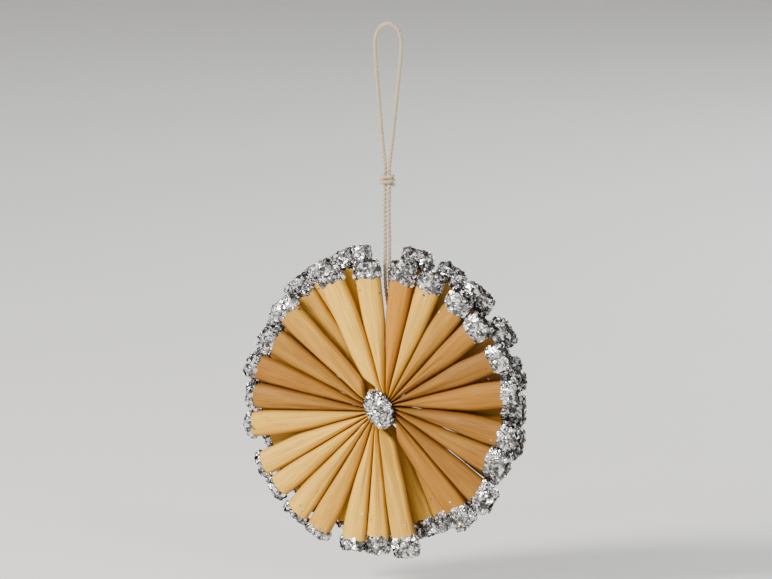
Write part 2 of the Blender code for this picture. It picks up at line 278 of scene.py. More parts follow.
def oval(angle, corner):
    """A point on a rounded rectangle with half sides of 1: a circle at corner 2, squarer above it."""
    c, s = math.cos(angle), math.sin(angle)
    return math.copysign(abs(c) ** (2 / corner), c), math.copysign(abs(s) ** (2 / corner), s)


def unit(vectors):
    return vectors / np.maximum(1e-12, np.linalg.norm(vectors, axis=-1, keepdims=True))


# The straws' paths in the rosette's own plane, drawn in the same order as the model's

class Ray:
    """One half of a straw, from the middle of the waist out to its free end."""

    def __init__(self, side, waist_z, angle, length):
        self.side = side
        self.angle = angle
        self.fills = True
        turned = math.radians(angle)
        corner = np.array([WAIST_HALF_LENGTH + WAIST_REACH * math.cos(turned), waist_z])
        self.tip = length * np.array([math.cos(turned), math.sin(turned)])
        out = (self.tip - corner) / np.linalg.norm(self.tip - corner)
        self.heading = math.atan2(out[1], out[0])
        half_turn = math.tan(abs(self.heading) / 2)
        room = corner[0] - BINDING_HALF_LENGTH - BINDING_CLEARANCE
        radius = min(BEND_RADIUS, room / max(1e-6, half_turn))
        start = corner - [radius * half_turn, 0]
        turn = math.copysign(1, self.heading)
        self.bend = []
        for step in range(BEND_STEPS + 1):
            swept = abs(self.heading) * step / BEND_STEPS
            self.bend.append(start + radius * np.array([math.sin(swept), turn * (1 - math.cos(swept))]))

    def line(self):
        """Points close together along the ray, from the middle of the waist to its free end."""
        corners = np.array([(0.0, self.bend[0][1])] + self.bend + [self.tip])
        along = np.concatenate([[0], np.cumsum(np.linalg.norm(np.diff(corners, axis=0), axis=1))])
        at = np.arange(0, along[-1], LINE_STEP)
        points = np.stack([np.interp(at, along, corners[:, k]) for k in range(2)], axis=1)
        return points * [self.side, 1]

    def stations(self):
        """(point, across, distance to the free end) for each section, from the waist outwards."""
        run = self.tip - self.bend[-1]
        length = np.linalg.norm(run)
        shares = np.linspace(0, 1, RUN_STEPS + 1)[1:]
        points = self.bend + [self.bend[-1] + share * run for share in shares]
        turned = [self.heading * step / BEND_STEPS for step in range(BEND_STEPS + 1)]
        headings = turned + [self.heading] * RUN_STEPS
        return [
            (np.array([self.side * p[0], p[1]]), np.array([-self.side * math.sin(h), math.cos(h)]),
             max(0.0, float(np.dot(self.tip - p, run)) / length))
            for p, h in zip(points, headings)
        ]


class Straw:
    """One whole straw: its two rays, its width and how far its ends lift off the middle plane."""

    def __init__(self, layer_name, number, outermost, depth_side, waist_z, rays, width, lifts):
        self.node = f"straw_{layer_name}_{number:02d}"
        self.label = f"{layer_name}_{number:02d}"
        self.outermost = outermost
        self.depth_side = depth_side
        self.waist_z = waist_z
        self.rays = rays
        self.width = width
        self.lifts = lifts
        self.bands = (0.0, 0.0)

    def line(self):
        return np.concatenate([ray.line() for ray in self.rays])

    def directions(self):
        """The angles at which its two free ends point, seen from the front."""
        return BUNDLE_ANGLE + self.rays[0].angle, BUNDLE_ANGLE + 180 - self.rays[1].angle


def fan_angles(count, half_angle):
    return [half_angle * (2 * i / (count - 1) - 1) for i in range(count)]


def hanger_direction():
    """The angle, in the rosette's plane, of the front gap where the hanging thread comes out."""
    angles = fan_angles(FRONT_STRAWS, FRONT_FANS[0])
    return (angles[HANGER_RAY - 1] + angles[HANGER_RAY]) / 2


BUNDLE_ANGLE = 90 - hanger_direction()


def back_fans():
    """The back rays' angles: behind the front layer's gaps, but for a gap round the hanging thread."""
    count = FRONT_STRAWS + 1
    near_half, far_half = [half * FRONT_STRAWS / (FRONT_STRAWS - 1) for half in FRONT_FANS]
    hanger = hanger_direction()
    below = np.linspace(-near_half, hanger - HANGER_GAP / 2, HANGER_RAY)
    above = np.linspace(hanger + HANGER_GAP / 2, near_half, count - HANGER_RAY)
    return list(below) + list(above), fan_angles(count, far_half)


def ray_length(direction, rise):
    """From the rosette's centre to the circle of tips, whose own centre is higher by rise."""
    up = rise * math.cos(math.radians(direction - hanger_direction()))
    return up + math.sqrt(TIP_RADIUS ** 2 - rise ** 2 + up ** 2)


def layer(name, depth_side, near, far, rise, straight_rays, rng):
    """The straws of one layer, from the ray angles at each end of the bundle."""
    count = len(near)
    pitch = WAIST_WIDTH / count
    straws = []
    for i in range(count):
        turns = [rng.uniform(-RAY_TURN, RAY_TURN) for _ in range(2)]
        trims = [rng.uniform(0, TIP_RADIUS_SPREAD) for _ in range(2)]
        lifts = [rng.uniform(0, TIP_LIFT) for _ in range(2)]
        width = STRAW_WIDTH * (1 + rng.uniform(-STRAW_WIDTH_SPREAD, STRAW_WIDTH_SPREAD))
        straight = i in straight_rays
        if straight:
            turns[0] = lifts[0] = 0.0
        waist_z = pitch * (i - (count - 1) / 2)
        angles = near[i] + turns[0], far[i] + turns[1]
        rays = [
            Ray(1, waist_z, angles[0], ray_length(angles[0], rise) - trims[0]),
            Ray(-1, waist_z, angles[1], ray_length(180 - angles[1], rise) - trims[1]),
        ]
        rays[0].fills = not straight
        outermost = i in (0, count - 1)
        straws.append(Straw(name, i + 1, outermost, depth_side, waist_z, rays, width, lifts))
    return straws


def band_length(world_angle, rng):
    """How far the glitter reaches in from a free end that points in this direction."""
    away = abs((world_angle - NARROW_TOWARDS + 180) % 360 - 180)
    wide = smooth(*NARROW_WITHIN, away)
    return (NARROW_BAND + wide * (WIDE_BAND - NARROW_BAND)) * rng.uniform(*BAND_PLAY)


def all_layers():
    rng = random.Random(LAYOUT_SEED)
    front_fans = [fan_angles(FRONT_STRAWS, half) for half in FRONT_FANS]
    layers = [
        layer("front", -1, *front_fans, 0.0, (), rng),
        layer("back", 1, *back_fans(), BACK_RISE, (HANGER_RAY - 1, HANGER_RAY), rng),
    ]
    for straws in layers:
        for straw in straws:
            straw.bands = [band_length(direction, rng) for direction in straw.directions()]
    return layers


# A straw's sections

def nearest_on(line, point, across):
    """On which side of a point a line comes nearest, and how near."""
    away = line - point
    apart = np.linalg.norm(away, axis=1)
    nearest = apart.argmin()
    return int(away[nearest].dot(across) > 0), apart[nearest]


def nearer_of(room, width):
    """Half of the smaller of the two, with a smooth change from one to the other."""
    return (room ** -CROWDING + width ** -CROWDING) ** (-1 / CROWDING) / 2


def reaches(point, across, ray, straw, other_ray, others):
    """How far a straw spreads to the one and to the other side of a point: half its width, or less where
    its neighbours crowd it. Beyond the waist each side fills its own room, up to halfway to the next."""
    in_front = straw.depth_side < 0
    width = straw.width * (FRONT_FULLNESS if in_front else BACK_FULLNESS)
    room = [FAR_OFF, FAR_OFF]
    for line in others:
        side, apart = nearest_on(line, point, across)
        room[side] = min(room[side], apart)
    crowded = nearer_of(min(room) - STRAW_CLEARANCE, width)
    if not ray.fills:
        return crowded, crowded
    if straw.outermost:
        side, apart = nearest_on(other_ray, point, across)
        room[side] = min(room[side], max(SEAM_EASE * apart, 2 * STRAW_CLEARANCE))
    share = smooth(*(FRONT_FILL_REACH if in_front else BACK_FILL_REACH), np.linalg.norm(point))
    return [crowded + share * (nearer_of(r - STRAW_CLEARANCE, width) - crowded) for r in room]


def depth_at(radius, straw):
    outer_edge = abs(straw.waist_z) + WAIST_WIDTH / FRONT_STRAWS / 2
    share = outer_edge / (WAIST_EASE * WAIST_WIDTH / 2)
    waist = WAIST_DEPTH / 2 * (1 - share ** WAIST_CORNER) ** (1 / WAIST_CORNER)
    opened = smooth(WAIST_HALF_LENGTH, MIDDLE_RADIUS / 2, radius)
    flattened = smooth(MIDDLE_RADIUS, TIP_RADIUS, radius)
    return waist + opened * (MIDDLE_DEPTH - waist) - flattened * (MIDDLE_DEPTH - TIP_DEPTH)


def middle_depth(radius, depth, lift, straw):
    """Y of a section's middle: its inner face keeps to its own side of the rosette's middle plane."""
    inner_face = LAYER_GAP / 2 + (CRUST + lift) * smooth(0, TIP_RADIUS, radius)
    return straw.depth_side * (inner_face + depth / 2)


class Skin:
    """The outer and inner rings of one ray, with what its finish needs to know of every point."""

    def __init__(self, outer, inner, to_end):
        self.outer = outer
        self.inner = inner
        self.to_end = to_end


def ray_skin(ray, other_ray, straw, others, lift, ridges, rng):
    """The rings of one ray. Ridges run all the way, a crease runs out from the waist, and the mouth is cut
    obliquely. The inner rings start at the mouth and run inwards."""
    wave = rng.uniform(0, 2 * math.pi)
    slant = math.tan(math.radians(rng.uniform(-CUT_SLANT, CUT_SLANT)))
    crease = CREASE_DEPTH * rng.uniform(CREASE_LEAST, 1.0)
    crease_place = rng.uniform(-CREASE_PLACE, CREASE_PLACE)
    ragged = [rng.gauss(0, CUT_RAGGED) for _ in range(SIDES)]
    heading = unit(ray.tip - ray.bend[-1]) * [ray.side, 1]
    outer, inner, to_end = [], [], []
    for point, across, left in ray.stations():
        radius = np.linalg.norm(point)
        wavy = 1 + WAVE_SHARE * math.sin(wave + radius / WAVE_LENGTH * 2 * math.pi)
        sides = [wavy * reach for reach in reaches(point, across, ray, straw, other_ray, others)]
        wide = sum(sides) / 2
        depth = depth_at(radius, straw)
        y = middle_depth(radius, depth, lift, straw)
        open_share = smooth(MIDDLE_RADIUS / 2, TIP_RADIUS, radius)
        corner = SQUARENESS[0] + open_share * (SQUARENESS[1] - SQUARENESS[0])
        creased = crease * smooth(*CREASE_OPENING, wide) * (1 - smooth(*CREASE_REACH, radius))
        near_end = 1 - smooth(0, CUT_REACH, left)
        outer_ring, inner_ring = [], []
        for k in range(SIDES):
            u, v = oval(2 * math.pi * k / SIDES, corner)
            raised = ridges[k] * min(1.0, wide / RIDGES_FULL_FROM)
            sunk = creased * math.exp(-((u - crease_place) / CREASE_WIDTH) ** 2) * math.copysign(1, v)
            cut = slant * u * wide + ragged[k] * near_end - CUT_CORNER * abs(u) ** CUT_CORNER_POWER
            shift = heading * near_end * cut
            reach = sides[int(u > 0)]
            x, z = point + across * u * (reach + raised) + shift
            outer_ring.append((x, y + v * (depth / 2 + raised) - sunk, z))
            x, z = point + across * u * (reach - STRAW_WALL) + shift
            inner_ring.append((x, y + v * (depth / 2 - STRAW_WALL) - CREASE_INSIDE * sunk, z))
        outer.append(outer_ring)
        to_end.append(left)
        if left <= HOLLOW_LENGTH:
            inner.append(inner_ring)
    return Skin(np.array(outer), np.array(inner[::-1]), np.array(to_end))


def loft_sides(count, sides, closed=False):
    """Quads between each of count rings and the next."""
    faces = []
    for row in range(count if closed else count - 1):
        first, second = row * sides, (row + 1) % count * sides
        for k in range(sides):
            after = (k + 1) % sides
            faces.append((first + k, first + after, second + after, second + k))
    return faces


def loft(rings, closed=False):
    """Quads between successive rings, and capped ends unless the last ring meets the first."""
    count, sides = len(rings), len(rings[0])
    faces = loft_sides(count, sides, closed)
    if not closed:
        faces.append(tuple(range(sides))[::-1])
        faces.append(tuple(range((count - 1) * sides, count * sides)))
    return faces


def add_piece(name, points, faces, finish, layers=(), flat=False):
    """A mesh object with point attributes, given as (name, type, values)."""
    fields = {"FLOAT_VECTOR": "vector", "FLOAT_COLOR": "color", "FLOAT": "value"}
    mesh = bpy.data.meshes.new(name)
    mesh.from_pydata(np.asarray(points).tolist(), [], faces)
    mesh.validate()
    mesh.update()
    if signed_volume(mesh) < 0:
        mesh.flip_normals()
    for label, kind, values in layers:
        attribute = mesh.attributes.new(label, kind, "POINT")
        attribute.data.foreach_set(fields[kind], np.ravel(values).astype(np.float32))
    if flat:
        mesh.shade_flat()
    else:
        mesh.shade_smooth()
    mesh.materials.append(finish)
    piece = bpy.data.objects.new(name, mesh)
    bpy.context.scene.collection.objects.link(piece)
    return piece


def signed_volume(mesh):
    """Six times the volume that the mesh's faces close round, negative where they point inwards."""
    mesh.calc_loop_triangles()
    places = np.empty(len(mesh.vertices) * 3)
    mesh.vertices.foreach_get("co", places)
    corners = np.empty(len(mesh.loop_triangles) * 3, int)
    mesh.loop_triangles.foreach_get("vertices", corners)
    a, b, c = places.reshape(-1, 3)[corners.reshape(-1, 3)].transpose(1, 0, 2)
    return float(np.einsum("ij,ij->i", a, np.cross(b, c)).sum())


def to_world(points):
    """From the rosette's own axes to the frame's."""
    turn = math.radians(BUNDLE_ANGLE)
    points = np.asarray(points, float)
    x, y, z = points[..., 0], points[..., 1], points[..., 2]
    return np.stack([
        x * math.cos(turn) - z * math.sin(turn),
        y,
        x * math.sin(turn) + z * math.cos(turn) + DISC_CENTRE_Z,
    ], axis=-1)


def paleness(direction, rng):
    """From 0, golden tan, to 1, pale cream."""
    share = 0.0
    for towards, all_within, any_within in PALE_TOWARDS:
        away = abs((direction - towards + 180) % 360 - 180)
        share = max(share, 1 - smooth(all_within, any_within, away))
    pale = PALE_LEAST + (PALE_MOST - PALE_LEAST) * share
    return min(1.0, max(0.0, pale + rng.uniform(-PALE_PLAY, PALE_PLAY)))


def orangeness(direction, rng):
    """From 0, as it is, to 1, orange. Many rays draw a value below 0, which counts as 0."""
    towards, all_within, any_within = ORANGE_TOWARDS
    away = abs((direction - towards + 180) % 360 - 180)
    near = ORANGE_MOST - ORANGE_MOST * smooth(all_within, any_within, away)
    return max(0.0, near, rng.uniform(*ORANGE_PLAY))


def straw_piece(straw, others, finish, rng):
    """The whole straw as one closed body, and the skins of its two rays for the glitter."""
    ridges = np.zeros(SIDES)
    around = 2 * math.pi * np.arange(SIDES) / SIDES
    for count in RIDGES:
        ridges += rng.uniform(-1, 1) * RIDGE_HEIGHT * np.cos(count * around + rng.uniform(0, ANY_PHASE))
    skins = []
    for ray, other, lift in zip(straw.rays, straw.rays[::-1], straw.lifts):
        skins.append(ray_skin(ray, other.line(), straw, others, lift, ridges, rng))
    near, far = skins
    rings = [*near.inner[::-1], *near.outer[::-1], *far.outer, *far.inner]
    insides = [1] * len(near.inner) + [0] * (len(near.outer) + len(far.outer)) + [1] * len(far.inner)
    shades = []
    for direction in straw.directions():
        shades.append((paleness(direction, rng), orangeness(direction, rng)))
    points = np.array(rings)
    girth = straw.width / 2
    shift = rng.uniform(0, 1)
    grain, tint = [], []
    # How far round towards a straw's flat sides each point lies: the mask of the painted shade along them
    sides = np.tile(np.abs(np.cos(around)), len(rings))
    for ring, inside in zip(points, insides):
        middle = ring.mean(axis=0)
        along = middle[0]
        half = smooth(-HALVES_MEET, HALVES_MEET, along)
        pale, orange = [half * a + (1 - half) * b for a, b in zip(*shades)]
        run = math.copysign(math.hypot(middle[0], middle[2]), along)
        for k in range(SIDES):
            grain.append((girth * math.cos(around[k]) + shift, girth * math.sin(around[k]), run + shift))
            tint.append((pale, orange, float(inside), 1.0))
    layers = (
        ("grain", "FLOAT_VECTOR", grain),
        ("tint", "FLOAT_COLOR", tint),
        ("side", "FLOAT", sides),
    )
    piece = add_piece(f"cut_{straw.node}", to_world(points.reshape(-1, 3)), loft(rings), finish, layers)
    return piece, skins


# Glitter

def flakes(centres, normals, radii, rng):
    """Thin six-sided plates, one for each centre, each with a random brightness that paints its reflection.
    None stands out too far in depth.
    """
    count = len(centres)
    tilt = math.tan(math.radians(FLAKE_TILT)) / FLAKE_TILT_SHARED
    normals = unit(normals + rng.normal(0, tilt, (count, 3)))
    helper = np.where(np.abs(normals[:, :1]) > NEARLY_ALONG, [[0.0, 1.0, 0.0]], [[1.0, 0.0, 0.0]])
    side = unit(np.cross(normals, helper))
    other = np.cross(normals, side)
    step = 2 * math.pi / FLAKE_SIDES
    spin = rng.uniform(0, step, count)
    points = []
    for level in (-0.5, 0.5):
        for k in range(FLAKE_SIDES):
            angle = spin + step * k
            reach = radii * rng.uniform(*FLAKE_CORNERS, count)
            rim = side * (reach * np.cos(angle))[:, None] + other * (reach * np.sin(angle))[:, None]
            points.append(centres + rim + level * FLAKE_THICKNESS * normals)
    points = np.stack(points, axis=1)
    over = np.maximum(0, np.abs(points[..., 1]).max(axis=1) - FLAKE_DEPTH)
    points[..., 1] -= (np.sign(centres[:, 1]) * over)[:, None]
    corners = 2 * FLAKE_SIDES
    plate = [tuple(range(FLAKE_SIDES))[::-1], tuple(range(FLAKE_SIDES, corners))]
    plate += loft_sides(2, FLAKE_SIDES)
    faces = [tuple(i * corners + corner for corner in face) for i in range(count) for face in plate]
    # Painted reflection: each flake gets a brightness drawn at random, for the surroundings it would mirror
    painted_glint = np.repeat(rng.uniform(0, 1, count), corners)
    return points.reshape(-1, 3), faces, painted_glint


def grid_sample(grid, rows, columns):
    """Points and outward normals on a grid of rings at fractional rows and columns."""
    sides = grid.shape[1]
    row = np.clip(np.floor(rows).astype(int), 0, len(grid) - 2)
    column = np.floor(columns).astype(int) % sides
    after = (column + 1) % sides
    down, along = (rows - row)[:, None], (columns - np.floor(columns))[:, None]
    a, b = grid[row, column], grid[row, after]
    c, d = grid[row + 1, column], grid[row + 1, after]
    points = (a * (1 - along) + b * along) * (1 - down) + (c * (1 - along) + d * along) * down
    normals = np.cross(b - a + d - c, c - a + d - b)
    middle = grid.mean(axis=1)
    outward = points - middle[row]
    return points, unit(normals * np.sign(np.einsum("ij,ij->i", normals, outward))[:, None])


def glue_crust(skin, band, rng):
    """A bumpy coat of glue over the last stretch of a ray, swelled towards its end, that rolls over the rim
    and runs a little way into the mouth. Its rings close up inside the straw's wall."""
    sides = skin.outer.shape[1]
    ends = skin.to_end[::-1]
    outer, inner = skin.outer[::-1], skin.inner
    heading = unit(outer[0].mean(axis=0) - outer[GLUE_END_RINGS].mean(axis=0))

    def at(rings, distance):
        place = np.interp(distance, ends[:len(rings)], range(len(rings)))
        low = min(int(place), len(rings) - 2)
        return rings[low] + (place - low) * (rings[low + 1] - rings[low])

    def swelled(ring, by):
        return ring + unit(ring - ring.mean(axis=0)) * np.reshape(by, (-1, 1))

    edge = rng.uniform(*GLUE_EDGE, sides)
    edge = np.mean([edge, np.roll(edge, 1), np.roll(edge, -1)], axis=0)
    wave_from, wave_over = SWELL_WAVE
    rings = []
    for share in np.linspace(0, 1, GLUE_STEPS):
        distance = 1 - share
        ring = at(outer, distance * band)
        ring = ring - heading * (band * distance * (edge - 1))[:, None]
        swell = GLUE_SWELL * math.sin(math.pi * min(1.0, wave_from + wave_over * share)) * (share > 0)
        flat_side = 1 - SWELL_FLATTENED * np.abs(unit(ring - ring.mean(axis=0))[:, 1])
        thick = GLUE * min(1.0, GLUE_THICKENS * share) + rng.uniform(0, GLUE_BUMP, sides) * (share > 0)
        rings.append(swelled(ring, thick + swell * flat_side - GLUE / 2 * (share == 0)))
    rim = (outer[0] + inner[0]) / 2
    rings.append(rim + heading * (GLUE_ROLL + rng.uniform(0, GLUE_BUMP, (sides, 1))))
    for distance in np.linspace(0, GLUE_INSIDE, GLUE_INSIDE_STEPS):
        thick = GLUE + rng.uniform(0, GLUE_BUMP, sides)
        rings.append(swelled(at(inner, distance), -thick))
    for distance in (GLUE_INSIDE, band * GLUE_SEALED):
        rings.append((at(outer, distance) + at(inner, distance)) / 2)
    return np.array(rings)


def tip_flakes(rings, band, rng):
    """Centres and normals of the flakes over a coat of glue and round its rim."""
    sides = rings.shape[1]
    girth = np.linalg.norm(np.diff(rings[GLUE_STEPS // 2], axis=0), axis=1).sum()
    count = int(FLAKES_PER_AREA * girth * band)
    rim_row = GLUE_STEPS - 1
    rows = np.concatenate([
        rng.uniform(FIRST_FLAKE_ROW, rim_row, count),
        rng.uniform(rim_row, GLUE_STEPS + RIM_ROWS, RIM_FLAKES),
    ])
    points, normals = grid_sample(rings, rows, rng.uniform(0, sides, len(rows)))
    return points + normals * FLAKE_THICKNESS, normals


def stray_flakes(skin, band, rng):
    """Centres and normals of the few flakes that stuck to a straw beyond its glue."""
    outer = skin.outer[::-1]
    count = rng.integers(0, STRAY_FLAKES + 1)
    distances = STRAY_FROM * band + rng.exponential(STRAY_REACH, count)
    rows = np.interp(distances, skin.to_end[::-1], range(len(outer)))
    points, normals = grid_sample(outer, rows, rng.uniform(0, outer.shape[1], count))
    return points + normals * FLAKE_THICKNESS, normals


def flaked_piece(name, parts, finish):
    """One mesh object from several (points, faces, painted glint) parts.
    A painted glint below 0 marks the glue.
    """
    points, faces, painted_glint, before = [], [], [], 0
    for part_points, part_faces, part_shine in parts:
        points.append(part_points)
        faces += [tuple(corner + before for corner in face) for face in part_faces]
        painted_glint.append(part_shine)
        before += len(part_points)
    layers = [("painted_glint", "FLOAT", np.concatenate(painted_glint))]
    return add_piece(name, to_world(np.concatenate(points)), faces, finish, layers, flat=True)


def glitter_piece(straw, skins, finish, rng):
    """The glue and flakes on both ends of a straw."""
    parts = []
    for skin, band in zip(skins, straw.bands):
        rings = glue_crust(skin, band, rng)
        points = rings.reshape(-1, 3)
        parts.append((points, loft(rings, closed=True), np.full(len(points), GLUE_SHINE)))
        centres, normals = tip_flakes(rings, band, rng)
        parts.append(flakes(centres, normals, rng.uniform(*FLAKE_RADIUS, len(centres)), rng))
        centres, normals = stray_flakes(skin, band, rng)
        parts.append(flakes(centres, normals, rng.uniform(*STRAY_RADIUS, len(centres)), rng))
    return flaked_piece(f"glitter_{straw.label}", parts, finish)


def dab_piece(name, depth_side, finish, rng):
    """A bumpy dome of glitter glue over the binding, thick with flakes."""
    under = BINDING_HALF_DEPTH + BINDING_DIAMETER / 2 + DAB_CLEARANCE
    around = 2 * math.pi * np.arange(DAB_ROUND) / DAB_ROUND
    outline = np.ones(DAB_ROUND)
    for count in DAB_LOBES:
        depth = rng.uniform(-1, 1) * DAB_LOBE_DEPTH / math.sqrt(count)
        outline += depth * np.cos(count * around + rng.uniform(0, ANY_PHASE))
    rings = []
    for row in range(DAB_ROWS + 1):
        share = math.cos(math.pi / 2 * row / (DAB_ROWS + 1))
        height = DAB_HEIGHT * math.sqrt(1 - share ** 2) ** DAB_DOME_POWER
        bumpiness = min(1.0, row / 2) * (1 if share > DAB_CROWN else DAB_CROWN_BUMP)
        bump = rng.uniform(0, DAB_BUMP, DAB_ROUND) * bumpiness
        rings.append(np.stack([
            (DAB_HALF_WIDTH - DAB_OVERHANG) * share * outline * np.cos(around),
            depth_side * (under + np.minimum(DAB_HEIGHT, height + bump)),
            DAB_HALF_LENGTH * share * outline * np.sin(around),
        ], axis=1))
    foot_share, foot_depth = DAB_FOOT
    foot = rings[0] * [foot_share, 0, foot_share] + [0, depth_side * (under - foot_depth), 0]
    dome = np.array([foot] + rings)
    parts = [(dome.reshape(-1, 3), loft(dome), np.full(dome.shape[0] * DAB_ROUND, GLUE_SHINE))]
    spread = np.sqrt(rng.uniform(0, 1, DAB_FLAKES))
    rows = 1 + np.arccos(np.clip(spread, 0, 1)) / (math.pi / 2) * (DAB_ROWS + 1)
    rows = np.clip(rows, DAB_FLAKE_ROWS[0], DAB_ROWS + DAB_FLAKE_ROWS[1])
    centres, normals = grid_sample(dome, rows, rng.uniform(0, DAB_ROUND, DAB_FLAKES))
    normals = normals * np.sign(normals[:, 1:2] * depth_side)
    radii = rng.uniform(*DAB_FLAKE_RADIUS, DAB_FLAKES)
    parts.append(flakes(centres + normals * GLUE / 2, normals * DAB_FLAKE_LEVEL, radii, rng))
    return flaked_piece(name, parts, finish)


# Threads

def curve_through(points, spacing):
    """Points about spacing apart on a smooth curve through the given points."""
    points = [np.array(p, float) for p in points]
    padded = [2 * points[0] - points[1]] + points + [2 * points[-1] - points[-2]]
    fine = []
    for a, b, c, d in zip(padded, padded[1:], padded[2:], padded[3:]):
        for t in np.linspace(0, 1, CURVE_STEPS, endpoint=False):
            fine.append(0.5 * (2 * b + (c - a) * t + (2 * a - 5 * b + 4 * c - d) * t ** 2
                               + (3 * b - a - 3 * c + d) * t ** 3))
    fine = np.array(fine + [points[-1]])
    along = np.concatenate([[0], np.cumsum(np.linalg.norm(np.diff(fine, axis=0), axis=1))])
    at = np.linspace(0, along[-1], max(2, round(along[-1] / spacing) + 1))
    return np.stack([np.interp(at, along, fine[:, k]) for k in range(3)], axis=1)


def back_face(radius):
    """Y of the hanging thread where it lies on the back straws at this distance from the centre."""
    opened = smooth(WAIST_HALF_LENGTH, MIDDLE_RADIUS / 2, radius)
    depth = WAIST_DEPTH / 2 + opened * (MIDDLE_DEPTH - WAIST_DEPTH / 2)
    lying_on = LAYER_GAP / 2 + CRUST * smooth(0, TIP_RADIUS, radius) + depth
    return lying_on + THREAD_CLEARANCE + THREAD_DIAMETER / 2


def loop_route():
    """The hanging thread's own points: up the back, through the gap, round the loop and back again."""
    strand = THREAD_DIAMETER / 2 + THREAD_CLEARANCE / 2
    knot_z = RIM_TOP_Z + KNOT_RISE
    towards = math.radians(hanger_direction())
    dab_edge = 1 / math.hypot(math.cos(towards) / DAB_HALF_WIDTH, math.sin(towards) / DAB_HALF_LENGTH)
    start = dab_edge + THREAD_DIAMETER
    up = [(strand, back_face(r), DISC_CENTRE_Z + r) for r in (start, *BACK_REACHES)]
    up += [(strand, y, DISC_CENTRE_Z + r) for y, r in THROUGH_GAP]
    up += [
        (strand, RIM_DEPTH, RIM_TOP_Z),
        (strand, 0.0, (RIM_TOP_Z + knot_z) / 2),
        (strand, 0.0, knot_z),
        (strand, 0.0, knot_z + ABOVE_KNOT),
    ]
    up += [(out * LOOP_HALF_WIDTH, 0.0, down * knot_z) for out, down in LOOP_SIDES]
    up += [(out * LOOP_HALF_WIDTH, 0.0, -down * LOOP_HALF_WIDTH) for out, down in LOOP_TOP]
    top = [(0.0, 0.0, THREAD_DIAMETER / 2)]
    return [(-x, y, z) for x, y, z in up] + top + up[::-1]


def coil(turns, diameter, half_x, half_y, corner, steps):
    """Points of a flat-wound coil round the Z axis: a rounded rectangle that climbs a thread each turn."""
    points = []
    for step in range(turns * steps + 1):
        x, y = oval(2 * math.pi * step / steps, corner)
        rise = (diameter + STRAW_CLEARANCE) * (step / steps - turns / 2)
        points.append((x * half_x, y * half_y, rise))
    return points


def carried_frames(path):
    """Two directions across the path at each of its points, carried along it without twisting."""
    ahead = unit(np.gradient(path, axis=0))
    first = np.array([0.0, 1.0, 0.0] if abs(ahead[0][1]) < NEARLY_ALONG else [1.0, 0.0, 0.0])
    side = first - ahead[0] * first.dot(ahead[0])
    sides = []
    for direction in ahead:
        side = side - direction * side.dot(direction)
        side = side / np.linalg.norm(side)
        sides.append(side)
    sides = np.array(sides)
    return sides, np.cross(ahead, sides)


def twisted_thread(name, path, diameter, finish):
    """A thread of a few plies laid round each other, each ply one closed tube."""
    path = np.asarray(path)
    along = np.concatenate([[0], np.cumsum(np.linalg.norm(np.diff(path, axis=0), axis=1))])
    sides, others = carried_frames(path)
    ply_radius = diameter / 2 / (1 + 1 / math.sin(math.pi / PLIES))
    offset = diameter / 2 - ply_radius
    around = 2 * math.pi * np.arange(PLY_SIDES) / PLY_SIDES
    points, faces, fibre = [], [], []
    for ply in range(PLIES):
        turn = 2 * math.pi * (along / (LAY_LENGTH * diameter) + ply / PLIES)
        out = sides * np.cos(turn)[:, None] + others * np.sin(turn)[:, None]
        up = others * np.cos(turn)[:, None] - sides * np.sin(turn)[:, None]
        middle = path + out * offset
        rings = [
            m + ply_radius * PLY_FULLNESS * (np.cos(around)[:, None] * o + np.sin(around)[:, None] * u)
            for m, o, u in zip(middle, out, up)
        ]
        before = len(points) * len(path) * PLY_SIDES
        faces += [tuple(corner + before for corner in face) for face in loft(rings)]
        points.append(np.array(rings).reshape(-1, 3))
        for distance in along:
            fibre += [
                (ply * PLY_SHIFT + ply_radius * math.cos(angle), ply_radius * math.sin(angle), distance)
                for angle in around
            ]
    points = np.concatenate(points)
    return add_piece(name, points, faces, finish, [("fibre", "FLOAT_VECTOR", fibre)])


# Finishes

